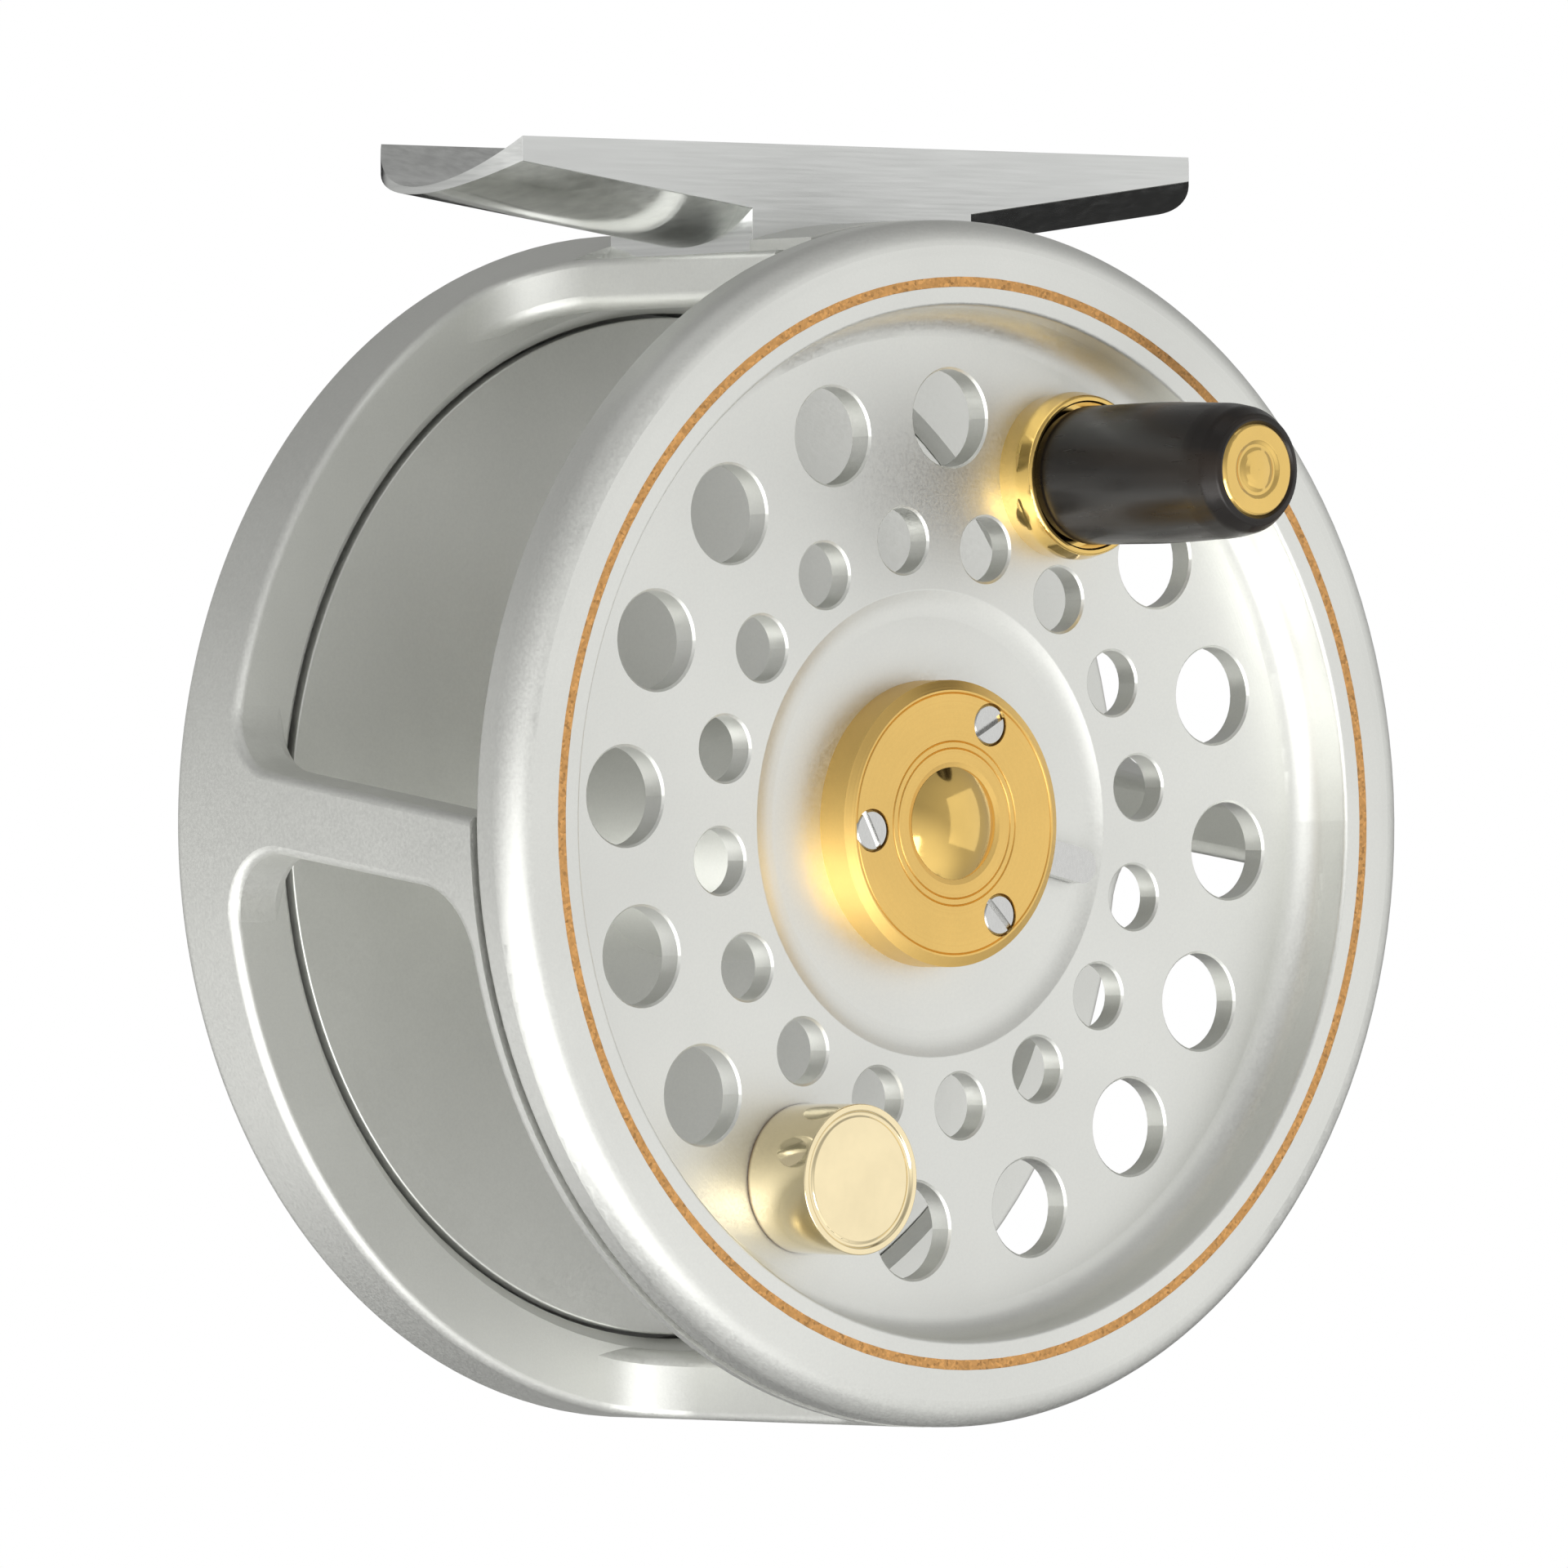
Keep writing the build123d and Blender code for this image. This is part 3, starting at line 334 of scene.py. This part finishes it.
def satin_gold(name, colour, centre):
    """Gold anodised aluminium with fine turned lines about an axis along Y."""
    build = Nodes(name)
    build.put(Metallic=1.0)
    lines = build.turned_lines(centre, 9000.0)
    cloud = build.noise(build.coordinates, 140.0, 3.0)
    grain = build.noise(build.coordinates, 6000.0, 2.0)
    tone = build.maths("ADD", build.maths("MULTIPLY", cloud, 0.7), build.maths("MULTIPLY", grain, 0.3))
    build.link(build.ramp(tone, [(0.3, shade(colour, 0.94)), (0.7, shade(colour, 1.05))]),
               build.shader.inputs["Base Color"])
    build.link(build.spread(lines, 0.34, 0.46), build.shader.inputs["Roughness"])
    build.link(build.bump(lines, 0.15, 0.00001), build.shader.inputs["Normal"])
    return build.material


def polished(name, colour, roughness=0.08, coat=0.4, foot_y=None):
    """Polished and lacquered metal with handling marks; foot_y is where dirt gathers at its foot."""
    build = Nodes(name)
    build.put(Metallic=1.0, Coat_Weight=coat, Coat_Roughness=0.05)
    cloud = build.noise(build.coordinates, 300.0, 4.0)
    marks = build.noise(build.mapping(scale=(1.0, 0.25, 1.0)), 2600.0, 2.0)
    colours = build.ramp(cloud, [(0.3, shade(colour, 0.95)), (0.7, shade(colour, 1.04))])
    if foot_y is not None:
        ragged = build.maths("ADD", build.along("Y"), build.maths("MULTIPLY", cloud, 0.0003))
        dirt = build.spread(ragged, 0.0, 0.85, foot_y - 0.00018, foot_y + 0.00005)
        colours = build.blend(dirt, colours, (0.16, 0.075, 0.02, 1.0))
    build.link(colours, build.shader.inputs["Base Color"])
    build.link(build.spread(marks, roughness * 0.7, roughness * 1.6), build.shader.inputs["Roughness"])
    build.link(build.bump(marks, 0.05, 0.000008), build.shader.inputs["Normal"])
    return build.material


def plain_steel(name, colour=(0.62, 0.62, 0.61, 1.0), roughness=0.2):
    """Bright machined steel with fine marks."""
    build = Nodes(name)
    build.put(Metallic=1.0)
    marks = build.noise(build.mapping(scale=(1.0, 1.0, 0.3)), 9000.0, 2.0)
    build.link(build.ramp(marks, [(0.3, shade(colour, 0.94)), (0.7, shade(colour, 1.05))]),
               build.shader.inputs["Base Color"])
    build.link(build.spread(marks, roughness * 0.7, roughness * 1.5), build.shader.inputs["Roughness"])
    build.link(build.bump(marks, 0.12, 0.00001), build.shader.inputs["Normal"])
    return build.material


def cork_composite(name, colour):
    """Speckled cork composite: fine light and dark grains in a tan ground."""
    build = Nodes(name)
    build.put(Metallic=0.0, Specular_IOR_Level=0.3)
    cells = build.node("ShaderNodeTexVoronoi", feature="F1")
    cells.inputs["Scale"].default_value = 5200.0
    build.link(build.coordinates, cells.inputs["Vector"])
    grain = build.node("ShaderNodeSeparateColor")
    build.link(cells.outputs["Color"], grain.inputs[0])
    colours = build.ramp(grain.outputs[0], [
        (0.0, shade(colour, 0.6)), (0.12, shade(colour, 0.82)), (0.35, shade(colour, 0.96)),
        (0.75, shade(colour, 1.06)), (1.0, shade(colour, 1.3))])
    build.link(colours, build.shader.inputs["Base Color"])
    rough = build.noise(build.coordinates, 2500.0, 3.0)
    build.link(build.spread(rough, 0.65, 0.9), build.shader.inputs["Roughness"])
    build.link(build.bump(rough, 0.4, 0.00004), build.shader.inputs["Normal"])
    return build.material


def dark_horn(name, colour):
    """Polished dark horn, nearly black, with broad faint brown streaks along the grip."""
    build = Nodes(name)
    build.put(Metallic=0.0, Specular_IOR_Level=0.3, Coat_Weight=0.08, Coat_Roughness=0.15)
    streaks = build.noise(build.mapping(scale=(1.0, 0.08, 1.0)), 320.0, 2.0)
    brown = build.spread(streaks, 0.0, 1.0, 0.4, 0.8)
    build.link(build.blend(brown, colour, (0.030, 0.019, 0.012, 1.0)), build.shader.inputs["Base Color"])
    wear = build.noise(build.mapping(scale=(1.0, 0.15, 1.0)), 2200.0, 3.0)
    build.link(build.spread(wear, 0.26, 0.36), build.shader.inputs["Roughness"])
    build.link(build.bump(wear, 0.05, 0.00001), build.shader.inputs["Normal"])
    return build.material


# --- operators ----------------------------------------------------------------------------------
def dress(nodes, material):
    """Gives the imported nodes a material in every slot."""
    for node in nodes:
        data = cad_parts[node].data
        data.materials.clear()
        data.materials.append(material)


def pick_flat_face(side):
    """In edit mode, selects the flat face across Y at the front (side -1) or the back (side 1)."""
    bpy.ops.mesh.select_all(action="DESELECT")
    bpy.ops.object.mode_set(mode="OBJECT")
    polygons = bpy.context.object.data.polygons
    facing = [face for face in polygons if face.normal.y * side > 0.999]
    chosen = min(facing, key=lambda face: face.center.y * -side)
    chosen.select = True
    bpy.ops.object.mode_set(mode="EDIT")


class REEL_OT_counterweight(bpy.types.Operator):
    """Models the counterweight: a low drum with a rolled rim and a groove round its flat face"""

    bl_idname = "reel.counterweight"
    bl_label = "Counterweight"

    def execute(self, context):
        low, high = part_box("counterweight")
        radius = (high[0] - low[0]) / 2
        rivet_low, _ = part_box("counterweight_rivet")
        middle = centre_of("counterweight")
        bore = min(math.hypot(vertex.co.x - middle.x, vertex.co.z - middle.z)
                   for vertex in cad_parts["counterweight"].data.vertices
                   if high[1] - vertex.co.y < 0.01 * MM)
        bpy.ops.object.select_all(action="DESELECT")
        bpy.ops.mesh.primitive_cylinder_add(
            vertices=WEIGHT_SIDES, radius=radius, depth=high[1] - low[1],
            location=middle, rotation=(math.pi / 2, 0, 0))
        piece = context.object
        piece.name = "counterweight_turned"
        bpy.ops.object.transform_apply(location=True, rotation=True, scale=True)
        bpy.ops.object.mode_set(mode="EDIT")
        bpy.ops.mesh.select_mode(type="FACE")
        pick_flat_face(-1)
        for inset, sink in WEIGHT_RINGS:
            bpy.ops.mesh.inset(thickness=inset, depth=0.0)
            bpy.ops.transform.translate(value=(0, sink, 0))
        pick_flat_face(1)
        bpy.ops.mesh.inset(thickness=radius - bore, depth=0.0)
        bpy.ops.mesh.extrude_region_move(TRANSFORM_OT_translate={"value": (0, rivet_low[1] - high[1], 0)})
        bpy.ops.mesh.select_all(action="SELECT")
        bpy.ops.mesh.normals_make_consistent(inside=False)
        bpy.ops.object.mode_set(mode="OBJECT")
        bevel = piece.modifiers.new("edges", "BEVEL")
        bevel.width = WEIGHT_EDGE
        bevel.segments = 4
        bevel.limit_method = "ANGLE"
        bevel.angle_limit = math.radians(20)
        bpy.ops.object.modifier_apply(modifier=bevel.name)
        bpy.ops.object.shade_smooth_by_angle(angle=math.radians(25))
        finish = context.scene.reel_finish
        piece.data.materials.append(polished("polished_brass", finish.brass, 0.07, 0.4, high[1]))
        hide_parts("counterweight")
        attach(piece, "spool")
        return {"FINISHED"}


class REEL_OT_dress(bpy.types.Operator):
    """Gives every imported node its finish"""

    bl_idname = "reel.dress"
    bl_label = "Dress the packed nodes"

    def execute(self, context):
        finish = context.scene.reel_finish
        silver = blasted_silver("silver_satin", finish.silver)
        turned_silver = blasted_silver("silver_turned", finish.silver, SPOOL_AXIS, 0.48)
        steel = plain_steel("bright_steel")
        blued = plain_steel("spring_steel", (0.12, 0.14, 0.18, 1.0), 0.25)
        bronze = plain_steel("bronze", (0.52, 0.30, 0.12, 1.0), 0.3)
        dress(["cage_frame", "back_plate"], silver)
        dress(["spool_front_flange", "spool_arbor", "spool_rear_flange"], turned_silver)
        dress(["foot"], brushed_silver("foot_aluminium", finish.foot_silver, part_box("foot")[0][1]))
        dress(["latch_cover", "regulator_knob", "spindle_nut"],
              satin_gold("gold_anodised", finish.gold, SPOOL_AXIS))
        dress(["cover_dome", "handle_collar", "handle_cap"],
              polished("gold_polished", finish.bright_gold))
        dress(["rim_inlay"], cork_composite("cork_inlay", finish.cork))
        dress(["handle_grip"], dark_horn("horn", finish.horn))
        dress(["back_plate_screws", "foot_screws", "spindle", "click_pawl", "pawl_post", "spring_post",
               "regulator_cam", "hub_screws", "gear_screws", "latch_plate", "latch_sleeve", "cover_screws",
               "handle_post", "counterweight_rivet"], steel)
        dress(["click_spring", "latch_spring"], blued)
        dress(["thrust_washer", "check_gear", "regulator_bush", "hub_bush", "handle_sleeve"], bronze)
        return {"FINISHED"}


def softbox(name, place, aim, size, power):
    """An area light that looks at a point."""
    light = bpy.data.lights.new(name, "AREA")
    light.shape = "RECTANGLE"
    light.size, light.size_y = size
    light.energy = power
    lamp = bpy.data.objects.new(name, light)
    bpy.context.scene.collection.objects.link(lamp)
    lamp.location = place
    lamp.rotation_euler = (aim - place).to_track_quat("-Z", "Y").to_euler()


def surround(tree):
    """A white studio for the camera; what the metal mirrors is soft lobes of light and dark."""
    tree.nodes.clear()

    def add(kind, **settings):
        made = tree.nodes.new(kind)
        for name, value in settings.items():
            setattr(made, name, value)
        return made

    def towards(direction, start, end, strength):
        """How much light a lobe about a direction adds."""
        dot = add("ShaderNodeVectorMath", operation="DOT_PRODUCT")
        tree.links.new(coordinates.outputs["Generated"], dot.inputs[0])
        dot.inputs[1].default_value = Vector(direction).normalized()
        lobe = add("ShaderNodeMapRange", interpolation_type="SMOOTHSTEP")
        lobe.inputs["From Min"].default_value = start
        lobe.inputs["From Max"].default_value = end
        lobe.inputs["To Max"].default_value = strength
        tree.links.new(dot.outputs["Value"], lobe.inputs["Value"])
        return lobe.outputs["Result"]

    coordinates = add("ShaderNodeTexCoord")
    total = None
    for direction, start, end, strength in LOBES:
        lobe = towards(direction, start, end, strength)
        if total is None:
            total = lobe
            continue
        join = add("ShaderNodeMath", operation="ADD")
        tree.links.new(total, join.inputs[0])
        tree.links.new(lobe, join.inputs[1])
        total = join.outputs[0]
    floor = add("ShaderNodeMath", operation="MAXIMUM")
    tree.links.new(total, floor.inputs[0])
    floor.inputs[1].default_value = DARKEST
    around = add("ShaderNodeBackground")
    around.inputs["Color"].default_value = (1.0, 1.0, 0.985, 1.0)
    tree.links.new(floor.outputs[0], around.inputs["Strength"])
    seen = add("ShaderNodeBackground")
    seen.inputs["Color"].default_value = (1, 1, 1, 1)
    ray = add("ShaderNodeLightPath")
    mix = add("ShaderNodeMixShader")
    output = add("ShaderNodeOutputWorld")
    tree.links.new(ray.outputs["Is Camera Ray"], mix.inputs["Fac"])
    tree.links.new(around.outputs[0], mix.inputs[1])
    tree.links.new(seen.outputs[0], mix.inputs[2])
    tree.links.new(mix.outputs[0], output.inputs["Surface"])


class REEL_OT_stage(bpy.types.Operator):
    """Makes the floor, the lights and the camera"""

    bl_idname = "reel.stage"
    bl_label = "Stage, light and camera"

    def execute(self, context):
        studio = context.scene.reel_studio
        scene = context.scene
        low, high = CAD_BOX
        bpy.ops.mesh.primitive_circle_add(vertices=96, radius=FLOOR_RADIUS, fill_type="NGON",
                                          location=(0, 0, -studio.floor_drop))
        floor = context.object
        floor.name = "floor"
        paint = Nodes("floor_paper")
        paint.put(Roughness=0.9, Specular_IOR_Level=0.2)
        paint.link(paint.ramp(paint.noise(paint.coordinates, 3.0, 2.0),
                              [(0.3, (0.86, 0.86, 0.86, 1.0)), (0.7, (0.88, 0.88, 0.88, 1.0))]),
                   paint.shader.inputs["Base Color"])
        floor.data.materials.append(paint.material)

        world = bpy.data.worlds.new("studio")
        scene.world = world
        world.use_nodes = True
        surround(world.node_tree)

        middle = (Vector(low) + Vector(high)) / 2
        for name, offset, size, power in SOFTBOXES:
            softbox(name, middle + Vector(offset), middle, size, power)

        scene.view_settings.view_transform = "Standard"
        scene.view_settings.look = "None"

        camera = bpy.data.cameras.new("camera")
        camera.lens = studio.lens
        camera.sensor_width = 36.0
        camera.clip_start, camera.clip_end = 0.05, 50.0
        eye = bpy.data.objects.new("camera", camera)
        scene.collection.objects.link(eye)
        back = Vector((math.sin(studio.azimuth) * math.cos(studio.elevation),
                       -math.cos(studio.azimuth) * math.cos(studio.elevation),
                       math.sin(studio.elevation)))
        aim = SPOOL_AXIS + AIM_OFFSET
        eye.location = aim + back * studio.distance
        turn = (-back).to_track_quat("-Z", "Y").to_matrix() @ Matrix.Rotation(-studio.roll, 3, "Z")
        eye.rotation_euler = turn.to_euler()
        scene.camera = eye
        return {"FINISHED"}


class REEL_PT_panel(bpy.types.Panel):
    """Lists the reel's operators and settings"""

    bl_label = "Fly Reel"
    bl_idname = "REEL_PT_panel"
    bl_space_type = "VIEW_3D"
    bl_region_type = "UI"
    bl_category = "Fly Reel"

    def draw(self, context):
        layout = self.layout
        for operator in OPERATORS:
            layout.operator(operator.bl_idname)
        for group in (context.scene.reel_finish, context.scene.reel_studio):
            box = layout.box()
            for name in group.__annotations__:
                box.prop(group, name)


OPERATORS = (REEL_OT_dress, REEL_OT_counterweight, REEL_OT_stage)
CLASSES = (ReelFinish, ReelStudio) + OPERATORS + (REEL_PT_panel,)


def register():
    for part in CLASSES:
        bpy.utils.register_class(part)
    bpy.types.Scene.reel_finish = bpy.props.PointerProperty(type=ReelFinish)
    bpy.types.Scene.reel_studio = bpy.props.PointerProperty(type=ReelStudio)


def unregister():
    del bpy.types.Scene.reel_studio
    del bpy.types.Scene.reel_finish
    for part in reversed(CLASSES):
        bpy.utils.unregister_class(part)


def main():
    register()
    bpy.ops.object.select_all(action="DESELECT")
    bpy.ops.reel.dress()
    bpy.ops.reel.counterweight()
    bpy.ops.reel.stage()


if __name__ == "__main__":
    main()
